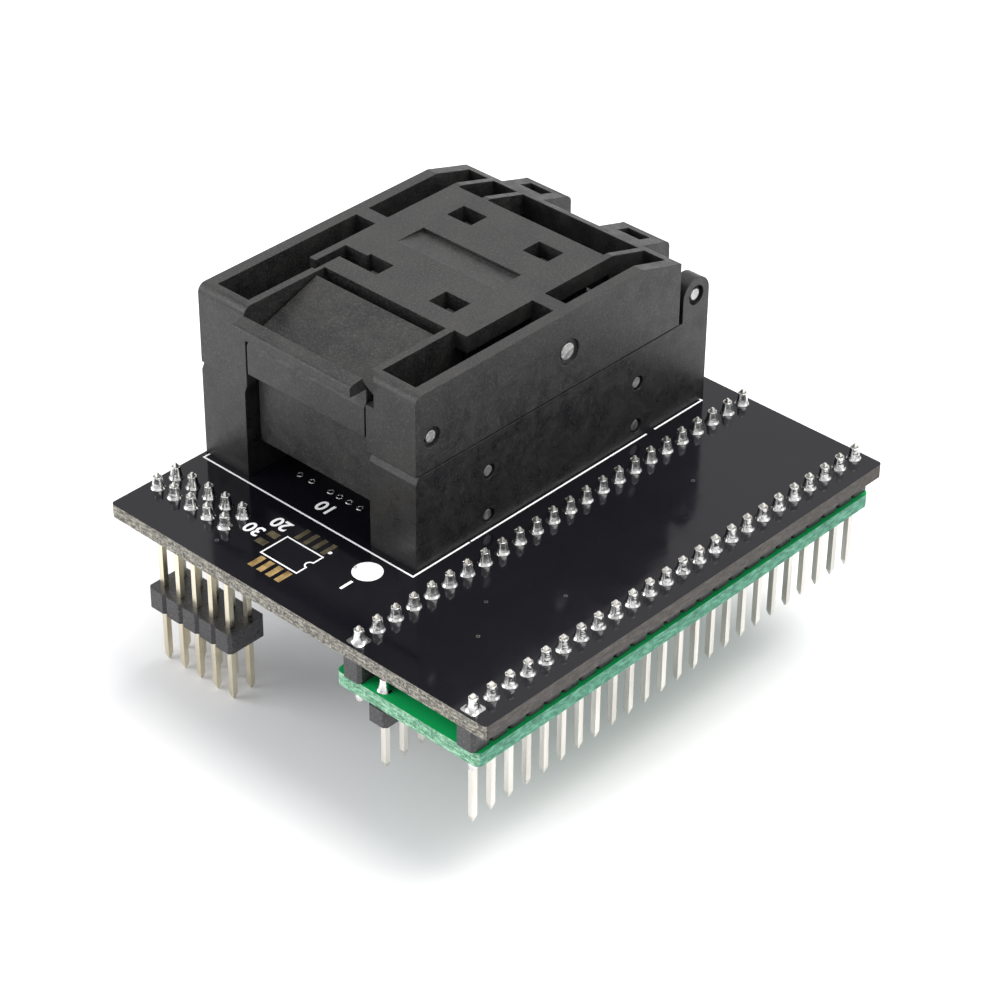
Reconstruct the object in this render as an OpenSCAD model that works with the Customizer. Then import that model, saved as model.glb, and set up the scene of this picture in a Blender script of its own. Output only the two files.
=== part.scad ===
// Adapter for programming ball-grid chips: a lidded test socket on a carrier
// board, with two rows of pins for a dual-row socket and a long side header.
// Millimetres. Z is up. The origin is where the adapter seats: midway between
// the two lower pin rows and midway along them, on the face that meets the
// socket it plugs into. The latch side faces -Y and the hinge side +Y.

/* [Boards] */
// Thickness of the carrier board
board_t = 1.6; // [1:0.1:2.4]
// Board left over past the first and last pin of a row
board_end_margin = 1.29; // [1.27:0.01:3]
// Board left over beside the outer pin row
board_side_margin = 2.85; // [2:0.05:4]
// Corner radius of the carrier board
board_r = 0.5; // [0.3:0.1:2]
// Thickness of the riser board
riser_t = 1.6; // [1:0.1:2.4]
// Riser board left over past the first and last pin of a row
riser_end_margin = 1.09; // [1:0.01:2]
// Riser board left over beside the outer pin row
riser_outer_margin = 1.7; // [1.3:0.05:2.2]
// Riser board left over beside the inner link row
riser_inner_margin = 2.3; // [1.3:0.05:3]
// Corner radius of the riser board
riser_r = 0.8; // [0.3:0.1:1]
// Diameter of a plated hole
hole_d = 1.0; // [0.95:0.01:1.1]

/* [Pin rows] */
// Pin pitch
pitch = 2.54; // [2.5:0.01:2.6]
// Pins in a row
row_pins = 24; // [20:1:28]
// Distance between the two upper rows
upper_rows_gap = 15.24; // [14:0.01:16]
// Distance between the two lower rows
lower_rows_gap = 11.8; // [10:0.1:12]
// Side of a square pin
pin_w = 0.64; // [0.5:0.01:0.64]
// Length of the taper at a pin's end
pin_tip = 0.7; // [0.3:0.1:1]
// Pin standing out above a board it is soldered to
pin_stand = 1.8; // [1.4:0.1:2.2]
// Pin length below the seating face
plug_depth = 6.1; // [4:0.1:8]
// Width of one cell of a pin strip
strip_w = 2.5; // [2.2:0.05:2.54]
// Height of the pin strips between the boards
link_h = 2.54; // [2:0.01:4]
// Height of the pin strip under the riser board
lower_strip_h = 2.0; // [1.5:0.1:3]
// Corner cut between the cells of a strip
cell_cut = 0.35; // [0.2:0.05:0.6]
// Width of a drain notch in the foot of a link strip
notch_w = 0.4; // [0.4:0.1:1.2]
// Height of a drain notch
notch_h = 0.3; // [0.3:0.05:0.8]

/* [Side header] */
// Columns of the side header
side_cols = 5; // [3:1:6]
// First column to the left edge of the carrier board
side_x_margin = 1.4; // [1.28:0.05:2]
// Front row to the front edge of the carrier board
side_y_margin = 5.3; // [4:0.1:6]
// Underside of the carrier board to the top of the header block
side_drop = 11.15; // [6:0.05:12]
// Height of the header block
side_block_h = 2.54; // [2:0.01:4]
// Pin length below the header block
side_pin_below = 7.0; // [4:0.1:9]

/* [Socket base] */
// Width of the socket
sock_w = 31; // [30:0.1:34]
// Depth of the socket, front to back
sock_l = 44.5; // [44:0.1:48]
// Height of the base up to the lid
base_h = 11.2; // [10.8:0.1:13]
// Inner pin row to the side of the socket
row_clear = 3.81; // [3:0.01:6]
// Left edge of the board to the side of the socket
sock_x_margin = 0.2; // [0.1:0.05:1]
// Front edge of the board to the front of the socket
sock_y_margin = 13.2; // [12:0.1:14]
// Thickness of the base's side walls
base_wall = 2.6; // [2:0.1:3]
// Inner face of a front post, from the middle
post_in = 9.0; // [8.9:0.1:10]
// Depth of the open bay between the front posts
front_recess = 3.9; // [3.8:0.1:4.5]
// Thickness of the catch beam behind the bay
cross_wall = 2.0; // [1.6:0.1:2.4]
// Height of the rear wall under the hinge
rear_wall_h = 9.2; // [8:0.1:9.4]
// Depth of the rear wall
rear_wall_t = 3.6; // [3:0.1:4]
// Radius of a hinge ear round its pin
ear_r = 2.1; // [1.9:0.1:2.4]
// Thickness of the hinge ears
ear_t = 2.0; // [1.6:0.1:2.4]
// Bevel on the top edges of the base
base_bevel = 0.4; // [0.2:0.1:0.8]
// Underside of the catch beam above the board
catch_z = 6.0; // [5.6:0.1:7]
// Top of the contact block beside the nest
block_h = 8.6; // [8:0.1:9.2]
// Floor of the well that the nest sits in
well_z = 6.2; // [5.8:0.1:6.6]

/* [Nest and contacts] */
// Width of the chip pocket
chip_w = 11.6; // [11:0.1:12.2]
// Length of the chip pocket
chip_l = 13.1; // [12:0.1:14]
// Width of the nest plate
nest_w = 17.2; // [16.6:0.1:17.4]
// Length of the nest plate
nest_l = 17.8; // [17:0.1:18]
// Thickness of the nest plate
nest_t = 2.2; // [2:0.1:2.6]
// Thickness of the pocket floor
nest_floor = 0.8; // [0.5:0.1:1]
// Height of the nest over its well when free
nest_lift = 0.7; // [0.6:0.05:0.9]
// Contacts along one side of the field
field_n = 14; // [8:1:14]
// Contact pitch
field_pitch = 0.5; // [0.4:0.05:0.5]
// Rings of contacts in the field
field_rings = 3; // [1:1:4]
// Diameter of a contact
contact_d = 0.26; // [0.16:0.02:0.3]
// Height of a contact above the well floor
contact_h = 1.9; // [1.6:0.1:2.2]

/* [Lid] */
// Height of the lid over the base
lid_h = 9.4; // [9:0.1:11]
// Gap between the base and the lid
seam = 0.15; // [0.1:0.05:0.3]
// Gap between the lid's rear face and the hinge ears
hinge_gap = 0.6; // [0.5:0.05:1]
// Thickness of the side rails and the front blocks' rear step
rail_t = 1.4; // [1.2:0.1:1.6]
// Thickness of the front blocks
lid_front_t = 1.5; // [1.3:0.1:1.8]
// Thickness of the lid's rear wall
lid_rear_t = 1.0; // [0.8:0.1:1.4]
// Thickness of the deck
deck_t = 2.0; // [1.6:0.1:2.2]
// Width of the deck
deck_w = 22.4; // [22:0.1:23]
// Front edge of the deck behind the latch
deck_y = 11.4; // [11.2:0.1:12]
// Length of the rear slope
slope_l = 6.1; // [4:0.1:7]
// Drop of the rear slope
slope_drop = 1.8; // [1:0.1:2.4]
// Width of the opening for the latch
latch_gap_w = 17.3; // [17.1:0.1:17.6]
// Thickness of the ribs beside the latch
rib_t = 0.85; // [0.7:0.05:1.1]
// Thickness of the rear ribs
rear_rib_t = 0.8; // [0.6:0.05:1]
// Radius of the lid's front top edges
lid_round = 1.0; // [0.4:0.1:1.2]
// Width of a knuckle
knuckle_w = 6.1; // [5:0.1:6.4]
// Middle of a knuckle from the middle of the lid
knuckle_x = 7.05; // [6.8:0.05:7.3]
// Rear face of a knuckle in front of the ears' rear
knuckle_set = 0.3; // [0.1:0.1:0.6]

/* [Latch] */
// Width of the latch lever
latch_w = 16.8; // [16.4:0.1:16.9]
// Rear edge of the thumb plate
thumb_y = 10.0; // [9:0.1:10.2]
// Bottom of the hook plate
hook_z = 4.2; // [4:0.1:4.6]
// Thickness of the hook plate
hook_t = 1.6; // [1.4:0.1:1.8]
// Set-back of the hook plate behind the front plate
hook_set = 1.4; // [1.2:0.1:1.6]
// How far the toe reaches under the catch beam
hook_reach = 0.38; // [0.2:0.02:0.4]
// Gap between the toe and the catch beam
hook_play = 0.7; // [0.6:0.05:1]

/* [Pins and springs] */
// Diameter of the hinge pin
hinge_d = 1.3; // [1.2:0.1:1.8]
// Diameter of the latch pin
latch_pin_d = 1.3; // [1:0.1:1.6]
// Diameter of the pressure pin's shaft
press_pin_d = 1.5; // [1.2:0.1:1.6]
// Diameter of the pressure pin's head
press_head_d = 1.9; // [1.8:0.1:2.5]
// Diameter of a cross pin
dowel_d = 1.2; // [1:0.1:1.4]
// Radial running clearance round a pin
run_gap = 0.04; // [0.02:0.01:0.08]
// Wire of the coil springs
wire_d = 0.22; // [0.16:0.02:0.26]

/* [Hidden] */

$fn = 32;
eps = 0.01;

// Bevel of the toe and of the ledge it catches under
toe_cut = 0.55;
// Thickness of the pressure pin's heads
head_t = 0.5;
// Wedge sunk in the deck
wedge_w = 14;
wedge_l = 4;
wedge_depth = 0.5;
// Shallow ring round the pressure pin's heads
head_ring = [3.0, 0.3];
// Pocket in the top of a knuckle, and the radius of its rear top edge
knuckle_pocket = [3.1, 1.8];
knuckle_round = 0.9;
// Cross pins beside the nest: their distance from its ends and from the block's
// top and foot
dowel_front = 2.85;
dowel_rear = 2.15;
dowel_low = 1.6;
// Gap between the pressure pad and the nest's rim
pad_gap = 0.25;
// Beam's top below the base's top
beam_drop = 0.6;
// Side channel in the deck
channel = [1.2, 2.1];
// Shelf under the latch spring, front to back
shelf_l = 3.2;
// Relief in the front block
relief = 1.6;
// How far the grip bar stands out in front, and the lever's plate thickness
bar_out = 1.9;
thumb_t = 1.5;
// Gap between the pressure springs and the deck
spring_gap = 0.25;

// Heights of the boards, from the seating face up
riser_z = lower_strip_h;
riser_top = riser_z + riser_t;
carrier_z = riser_top + link_h;
board_top = carrier_z + board_t;

// Lines of the pin rows across the width
outer_x = lower_rows_gap / 2;
lower_x = -lower_rows_gap / 2;
link_x = outer_x - upper_rows_gap;
row_len = (row_pins - 1) * pitch;
board_l = row_len + 2 * board_end_margin;
riser_l = row_len + 2 * riser_end_margin;
board_right = outer_x + board_side_margin;
sock_x = link_x - row_clear - sock_w / 2;
board_left = sock_x - sock_w / 2 - sock_x_margin;
riser_right = outer_x + riser_outer_margin;
riser_left = link_x - riser_inner_margin;

// Side header
side_x = board_left + side_x_margin;
side_y = -board_l / 2 + side_y_margin;
side_rows = 2;
side_block_top = carrier_z - side_drop;
side_tip_z = side_block_top - side_block_h - side_pin_below;

// Place of the socket on the board
sock_y = -board_l / 2 + sock_y_margin;

// Axes of the socket's pins, as [depth, height] in the socket
sock_h = base_h + lid_h;
lid_l = sock_l - 2 * ear_r - hinge_gap;
knuckle_l = 2 * ear_r + hinge_gap - knuckle_set;
deck_rear = lid_l - slope_l - 0.5;
hinge_at = [sock_l - ear_r, base_h + 0.282 * lid_h];
latch_at = [2.3, base_h + 0.415 * lid_h];
press_at = [(deck_y + deck_rear) / 2, base_h + 0.495 * lid_h];
dowel_zs = [dowel_low, block_h - dowel_low];
ear_in = sock_w / 2 - ear_t;
pin_sink = 0.2;
bore_ring = 0.5;

// Base
cavity_w = sock_w - 2 * base_wall;
cavity_y0 = front_recess + cross_wall;
cavity_y1 = sock_l - rear_wall_t;
fit_gap = 0.15;

// Nest, centred under the pressure pin
nest_y = press_at[0];
dowel_ys = [nest_y - nest_l / 2 - dowel_front, nest_y + nest_l / 2 + dowel_rear];
nest_z = well_z + nest_lift;
well_gap = 0.4;
field_w = (field_n - 1) * field_pitch;
spring_sink = 1.8;
nest_spring_x = nest_w / 2 - 1.4;
nest_spring_y = nest_l / 2 - 1.4;
nest_spring_r = 0.8;

// Lid
lid_z = base_h + seam;
deck_z = sock_h - deck_t;
rib_in = latch_gap_w / 2;
rail_in = sock_w / 2 - rail_t;
deck_hole = [3.45, 2.6];
deck_hole_x = 5.43;
deck_hole_dy = 7.0;
mid_rib_x = 6.9;
top_slope = slope_drop / slope_l;
plate_z = base_h + 0.18 * lid_h;
cross_bar = 1.8;
finger_w = 0.9;

// Pressure plate
press_w = 19.6;
press_l = 18.0;
press_z0 = base_h + 0.213 * lid_h;
press_z1 = deck_z - 0.106 * lid_h;
pad_w = 10.4;
pad_l = 11.4;
pad_z = nest_z + nest_t + pad_gap;
press_spring_x = 8.2;
press_spring_y = 4.2;
press_spring_r = 0.9;
press_pocket_z = base_h + 0.36 * lid_h;

// Latch spring shelf in the lid
shelf_y = 8.4;
shelf_z = base_h + 0.255 * lid_h;
shelf_t = 1.2;
latch_spring_r = 0.9;

// Plate with four round corners, standing on z = 0
module round_plate(x0, x1, y0, y1, t, r) {
    translate([x0 + r, y0, 0]) cube([x1 - x0 - 2 * r, y1 - y0, t]);
    translate([x0, y0 + r, 0]) cube([x1 - x0, y1 - y0 - 2 * r, t]);
    for (x = [x0 + r, x1 - r], y = [y0 + r, y1 - r])
        translate([x, y, 0]) cylinder(h = t, r = r);
}

// Children repeated at every pin of a long row
module along_row() {
    for (i = [0 : row_pins - 1]) translate([0, -row_len / 2 + i * pitch, 0]) children();
}

// Children repeated at every pin of the side header
module at_side_pins() {
    for (i = [0 : side_cols - 1], j = [0 : side_rows - 1])
        translate([side_x + i * pitch, side_y + j * pitch, 0]) children();
}

// Outline of a square pin with a taper at both ends, seen from the side
module pin_profile(z0, z1) {
    w = pin_w / 2;
    e = pin_w / 6;
    polygon([[-e, z0], [e, z0], [w, z0 + pin_tip], [w, z1 - pin_tip], [e, z1], [-e, z1],
        [-w, z1 - pin_tip], [-w, z0 + pin_tip]]);
}

module square_pin(z0, z1) {
    intersection() {
        rotate([90, 0, 0]) linear_extrude(pin_w, center = true) pin_profile(z0, z1);
        rotate([90, 0, 90]) linear_extrude(pin_w, center = true) pin_profile(z0, z1);
    }
}

module pin_slot(z0, z1) {
    translate([-pin_w / 2, -pin_w / 2, z0]) cube([pin_w, pin_w, z1 - z0]);
}

// Outline of a strip of cells with cut corners, starting at the first pin
function cell_edge(n, x, side) = [for (i = [0 : n - 1], k = [0 : 2])
    [side * (k == 0 ? x - cell_cut : x), (i - 0.5) * pitch + (k == 0 ? 0 : k == 1 ? cell_cut : pitch - cell_cut)]];

module strip_outline(n, w) {
    right = concat(cell_edge(n, w / 2, 1), [[w / 2 - cell_cut, (n - 0.5) * pitch]]);
    left = [for (i = [len(right) - 1 : -1 : 0]) [-right[i][0], right[i][1]]];
    polygon(concat(right, left));
}

// One long strip of insulating cells with a square hole for each pin
module pin_strip(h) {
    difference() {
        translate([0, -row_len / 2, 0]) linear_extrude(h) strip_outline(row_pins, strip_w);
        along_row() pin_slot(-1, h + 1);
    }
}

// Solder fillet round a pin, standing on z = 0
module solder_joint() {
    foot = hole_d / 2 + 0.35;
    top = hole_d / 2;
    h = pin_stand - 0.4;
    difference() {
        rotate_extrude() polygon([[0, 0], [foot, 0], [foot - 0.17, h * 0.2], [top + 0.07, h * 0.5],
            [top, h * 0.9], [top - 0.02, h], [0, h]]);
        pin_slot(-1, h + 1);
    }
}

// Carrier board: black, drilled for the rows, with the side header in one corner
module carrier_board() {
    color([0.06, 0.06, 0.08]) difference() {
        translate([0, 0, carrier_z])
            round_plate(board_left, board_right, -board_l / 2, board_l / 2, board_t, board_r);
        for (x = [outer_x, link_x]) translate([x, 0, carrier_z]) along_row()
            translate([0, 0, -1]) cylinder(h = board_t + 2, d = hole_d);
        translate([0, 0, carrier_z - 1]) at_side_pins() cylinder(h = board_t + 2, d = hole_d);
    }
}

// Riser board: narrower, green, under the two long rows
module riser_board() {
    color([0.05, 0.42, 0.24]) difference() {
        translate([0, 0, riser_z])
            round_plate(riser_left, riser_right, -riser_l / 2, riser_l / 2, riser_t, riser_r);
        for (x = [outer_x, link_x, lower_x]) translate([x, 0, riser_z]) along_row()
            translate([0, 0, -1]) cylinder(h = riser_t + 2, d = hole_d);
    }
}

// Strip between the boards, with a drain notch in its foot between the cells
module link_strip(x) {
    color([0.1, 0.1, 0.11]) translate([x, 0, riser_top]) difference() {
        pin_strip(link_h);
        for (i = [0 : row_pins - 2]) translate([-strip_w, (i + 0.5) * pitch - row_len / 2 - notch_w / 2, -1])
            cube([2 * strip_w, notch_w, notch_h + 1]);
    }
}

module outer_link_strip() {
    link_strip(outer_x);
}

module inner_link_strip() {
    link_strip(link_x);
}

// Long pins that join both boards and go on down into the programmer
module outer_row_pins() {
    color([0.8, 0.8, 0.78]) translate([outer_x, 0, 0]) along_row()
        square_pin(-plug_depth, board_top + pin_stand);
}

// Short pins that only join the boards
module inner_link_pins() {
    color([0.8, 0.8, 0.78]) translate([link_x, 0, 0]) along_row()
        square_pin(riser_z - pin_stand, board_top + pin_stand);
}

// Strip and pins of the second plug row, under the riser board
module lower_pin_strip() {
    color([0.1, 0.1, 0.11]) translate([lower_x, 0, 0]) pin_strip(lower_strip_h);
}

module lower_row_pins() {
    color([0.85, 0.8, 0.65]) translate([lower_x, 0, 0]) along_row()
        square_pin(-plug_depth, riser_top + pin_stand);
}

// Two-row block halfway down the long side pins
module side_header_block() {
    color([0.1, 0.1, 0.11]) difference() {
        translate([side_x, side_y + pitch / 2, side_block_top - side_block_h])
            rotate([0, 0, -90]) linear_extrude(side_block_h) strip_outline(side_cols, side_rows * pitch);
        at_side_pins() pin_slot(side_tip_z, carrier_z);
    }
}

module side_header_pins() {
    color([0.83, 0.75, 0.5]) at_side_pins() square_pin(side_tip_z, board_top + pin_stand);
}

// Fillets on top of the carrier board
module carrier_solder() {
    color([0.82, 0.83, 0.85]) translate([0, 0, board_top]) {
        for (x = [outer_x, link_x]) translate([x, 0, 0]) along_row() solder_joint();
        at_side_pins() solder_joint();
    }
}

// Fillets of the second plug row on the riser, and of the two upper rows under it
module riser_solder() {
    color([0.82, 0.83, 0.85]) {
        translate([lower_x, 0, riser_top]) along_row() solder_joint();
        for (x = [outer_x, link_x]) translate([x, 0, riser_z]) along_row()
            mirror([0, 0, 1]) solder_joint();
    }
}

// Puts its children in the socket's own frame: the middle of its width, its
// front face and the top of the carrier board
module on_board() {
    translate([sock_x, sock_y, board_top]) children();
}

// Extrudes a side outline, drawn as [depth, height], across a width
module side_extrude(x0, x1) {
    translate([x0, 0, 0]) rotate([90, 0, 90]) linear_extrude(x1 - x0) children();
}

// Hole across the socket for a pin on the axis at
module cross_bore(at, d) {
    translate([-sock_w, at[0], at[1]]) rotate([0, 90, 0]) cylinder(h = 2 * sock_w, d = d);
}

// Wider ring round a pin's end, sunk in both side faces
module end_rings(at, d, depth) {
    for (s = [-1, 1]) translate([s * (sock_w / 2 + 1), at[0], at[1]]) rotate([0, -s * 90, 0])
        cylinder(h = depth + 1, d = d);
}

// Straight pin across the socket, a little short of both side faces
module cross_pin(at, d) {
    len = sock_w - 2 * pin_sink;
    translate([-len / 2, at[0], at[1]]) rotate([0, 90, 0]) cylinder(h = len, d = d);
}

// Helical coil of round wire that stands on z = 0
module coil(r, h, turns, steps = 12, sides = 6) {
    n = turns * steps;
    rise = (h - wire_d) / n;
    lean = atan(rise * steps / (2 * PI * r));
    pts = [for (i = [0 : n], j = [0 : sides - 1])
        let (a = 360 * i / steps, b = 360 * j / sides,
            u = r + wire_d / 2 * cos(b), v = wire_d / 2 * sin(b))
        [u * cos(a) + v * sin(lean) * sin(a), u * sin(a) - v * sin(lean) * cos(a),
            wire_d / 2 + i * rise + v * cos(lean)]];
    walls = [for (i = [0 : n - 1], j = [0 : sides - 1])
        [i * sides + j, i * sides + (j + 1) % sides,
            (i + 1) * sides + (j + 1) % sides, (i + 1) * sides + j]];
    ends = [[for (j = [sides - 1 : -1 : 0]) j], [for (j = [0 : sides - 1]) n * sides + j]];
    polyhedron(pts, concat(walls, ends));
}

// Side outline of a hinge ear of the base, from the board up and round the pin
module ear_outline() {
    front = hinge_at[0] - ear_r;
    translate([front, 0]) square([2 * ear_r, hinge_at[1]]);
    translate(hinge_at) circle(r = ear_r, $fn = 48);
}

// Side outline of the base's walls, with a bevel along the front top edge
module wall_outline() {
    b = base_bevel;
    polygon([[0, 0], [0, base_h - 2 * b], [b, base_h], [hinge_at[0] - ear_r + eps, base_h],
        [hinge_at[0] - ear_r + eps, 0]]);
}

// Base: an open frame with front posts, a catch beam and two hinge ears
module socket_base() {
    w = sock_w / 2;
    color([0.2, 0.2, 0.21]) on_board() difference() {
        union() {
            for (s = [-1, 1]) {
                x0 = s > 0 ? w - base_wall : -w;
                side_extrude(x0, x0 + base_wall) wall_outline();
                e0 = s > 0 ? ear_in : -w;
                side_extrude(e0, e0 + ear_t) ear_outline();
                p0 = s > 0 ? post_in : -w;
                side_extrude(p0, p0 + w - post_in) intersection() {
                    wall_outline();
                    square([cavity_y0, base_h]);
                }
            }
            translate([-post_in - eps, front_recess, catch_z])
                cube([2 * post_in + 2 * eps, cross_wall, base_h - beam_drop - catch_z]);
            translate([-w + eps, cavity_y1, 0]) cube([sock_w - 2 * eps, rear_wall_t, rear_wall_h]);
        }
        // Bevel along the foot of the beam, where the toe of the latch catches
        side_extrude(-post_in, post_in) polygon([[front_recess - 1, catch_z - 1],
            [front_recess + toe_cut + 1, catch_z - 1], [front_recess - 1, catch_z + toe_cut + 1]]);
        cross_bore(hinge_at, hinge_d + 2 * run_gap);
        end_rings(hinge_at, hinge_d + 2 * bore_ring, 0.5);
        for (y = dowel_ys, z = dowel_zs) {
            cross_bore([y, z], dowel_d + 2 * run_gap);
            end_rings([y, z], dowel_d + bore_ring, 0.4);
        }
    }
}

// Contact block: the insulator inside the base, with the well of the nest
module contact_block() {
    w = cavity_w / 2 - fit_gap;
    color([0.16, 0.16, 0.17]) on_board() difference() {
        translate([-w, cavity_y0 + fit_gap, 0]) cube([2 * w, cavity_y1 - cavity_y0 - 2 * fit_gap, block_h]);
        translate([-nest_w / 2 - well_gap, nest_y - nest_l / 2 - well_gap, well_z])
            cube([nest_w + 2 * well_gap, nest_l + 2 * well_gap, block_h]);
        at_nest_springs() translate([0, 0, well_z - spring_sink])
            cylinder(h = block_h, r = nest_spring_r + wire_d / 2 + 0.2);
        for (y = dowel_ys, z = dowel_zs) cross_bore([y, z], dowel_d + 2 * run_gap);
    }
}

module at_nest_springs() {
    for (x = [-1, 1], y = [-1, 1])
        translate([x * nest_spring_x, nest_y + y * nest_spring_y, 0]) children();
}

// Field of contacts: rings of round tips round an empty middle
module contact_pins() {
    color([0.85, 0.7, 0.35]) on_board() translate([-field_w / 2, nest_y - field_w / 2, well_z])
        for (i = [0 : field_n - 1], j = [0 : field_n - 1])
            if (min(i, j, field_n - 1 - i, field_n - 1 - j) < field_rings)
                translate([i * field_pitch, j * field_pitch, 0])
                    cylinder(h = contact_h, d = contact_d, $fn = 8);
}

// Floating nest: a plate with a chip pocket, sloping lead-ins and a window
module nest_plate() {
    window = field_w + 1.1;
    pocket_z = nest_z + nest_floor;
    top = nest_z + nest_t;
    lead = 0.6;
    color([0.13, 0.13, 0.14]) on_board() translate([0, nest_y, 0]) difference() {
        translate([-nest_w / 2, -nest_l / 2, nest_z]) cube([nest_w, nest_l, nest_t]);
        translate([-chip_w / 2, -chip_l / 2, pocket_z]) cube([chip_w, chip_l, nest_t]);
        translate([-window / 2, -window / 2, nest_z - 1]) cube([window, window, nest_t]);
        intersection() {
            side_extrude(-nest_w / 2, nest_w / 2) lead_in(chip_l / 2, top, lead);
            rotate([0, 0, 90]) side_extrude(-nest_l / 2, nest_l / 2) lead_in(chip_w / 2, top, lead);
        }
    }
}

// Section of a pocket's mouth that widens by lead over the same depth
module lead_in(half, top, lead) {
    polygon([[-half, top - lead], [half, top - lead], [half + lead + eps, top + eps],
        [-half - lead - eps, top + eps]]);
}

module nest_springs() {
    color([0.75, 0.76, 0.78]) on_board() at_nest_springs()
        translate([0, 0, well_z - spring_sink]) coil(nest_spring_r, nest_lift + spring_sink, 4);
}

// Four cross pins that hold the contact block in the base
module cross_pins() {
    color([0.78, 0.79, 0.8]) on_board()
        for (y = dowel_ys, z = dowel_zs) cross_pin([y, z], dowel_d);
}

module hinge_pin() {
    color([0.78, 0.79, 0.8]) on_board() cross_pin(hinge_at, hinge_d);
}

// Straight end of a coil, leaving from the point at
module coil_leg(at, turn, len) {
    translate(at) rotate([turn, 0, 0]) cylinder(h = len, d = wire_d, $fn = 12);
}

// Torsion spring on the hinge pin, between the knuckles, with two legs
module hinge_spring() {
    r = hinge_d / 2 + 0.35;
    half = knuckle_x - knuckle_w / 2 - 0.5;
    leg = 2.2;
    color([0.7, 0.71, 0.73]) on_board() translate([-half, hinge_at[0], hinge_at[1]])
        rotate([0, 90, 0]) rotate([0, 0, 180]) {
            coil(r, 2 * half, 10);
            coil_leg([r, 0, wire_d / 2], -90, leg);
            coil_leg([r, 0, 2 * half - wire_d / 2], -90, leg);
        }
}

// Side outline of the lid: flat top, rounded front edge, slope at the rear
module lid_outline() {
    r = lid_round;
    polygon([[0, lid_z], [0, sock_h - r], [r, sock_h - r], [r, sock_h], [lid_l - slope_l, sock_h],
        [lid_l, sock_h - slope_drop], [lid_l, lid_z]]);
    translate([r, sock_h - r]) intersection() {
        circle(r = r, $fn = 48);
        translate([-r, 0]) square([r, r]);
    }
}

// Side outline of a knuckle: its top runs on down the lid's rear slope, and it
// is round under the hinge pin
module knuckle_outline() {
    rear = lid_l + knuckle_l;
    r = knuckle_round;
    top = sock_h - slope_drop;
    end_z = top - top_slope * (knuckle_l - r);
    half = rear - hinge_at[0];
    polygon([[lid_l - lid_rear_t, hinge_at[1] - half], [lid_l - lid_rear_t, top], [lid_l, top],
        [rear - r, end_z], [rear - r, end_z - r], [rear, end_z - r], [rear, hinge_at[1]],
        [hinge_at[0], hinge_at[1]], [hinge_at[0], hinge_at[1] - half]]);
    translate([rear - r, end_z - r]) intersection() {
        circle(r = r);
        translate([0, -r]) square(2 * r);
    }
    translate(hinge_at) circle(r = half, $fn = 48);
}

// Lid: rails, deck, ribs, front blocks and knuckles, moulded as one piece
module lid_frame() {
    w = sock_w / 2;
    slot_top = sock_h + 1;
    color([0.21, 0.21, 0.22]) on_board() difference() {
        union() {
            difference() {
                side_extrude(-w, w) lid_outline();
                lid_hollows();
            }
            lid_inner_ribs();
            for (s = [-1, 1]) side_extrude(s * knuckle_x - knuckle_w / 2, s * knuckle_x + knuckle_w / 2)
                knuckle_outline();
        }
        // Pockets in the tops of the knuckles
        for (s = [-1, 1]) translate([s * knuckle_x - knuckle_pocket[0] / 2, lid_l + 1.25, hinge_at[1] + ear_r])
            cube([knuckle_pocket[0], knuckle_pocket[1], sock_h]);
        // Relief beside the end of the grip bar
        translate([rib_in, 0, latch_at[1] + 1.8]) rotate([0, 0, 45])
            translate([-relief / 2, -relief / 2, 0]) cube([relief, relief, sock_h]);
        cross_bore(hinge_at, hinge_d + 2 * run_gap);
        cross_bore(latch_at, latch_pin_d + 2 * run_gap);
        end_rings(latch_at, latch_pin_d + 2 * bore_ring, 0.5);
        cross_bore(press_at, press_pin_d + 2 * run_gap);
        end_rings(press_at, press_head_d + 2 * run_gap, head_t + pin_sink);
        end_rings(press_at, head_ring[0], head_ring[1]);
        // Shallow wedge sunk in the deck, deepest at its rear edge
        side_extrude(-wedge_w / 2, wedge_w / 2) polygon([[press_at[0] - wedge_l / 2, sock_h],
            [press_at[0] + wedge_l / 2, sock_h - wedge_depth], [press_at[0] + wedge_l / 2, sock_h + 1],
            [press_at[0] - wedge_l / 2, sock_h + 1]]);
    }
}

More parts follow.
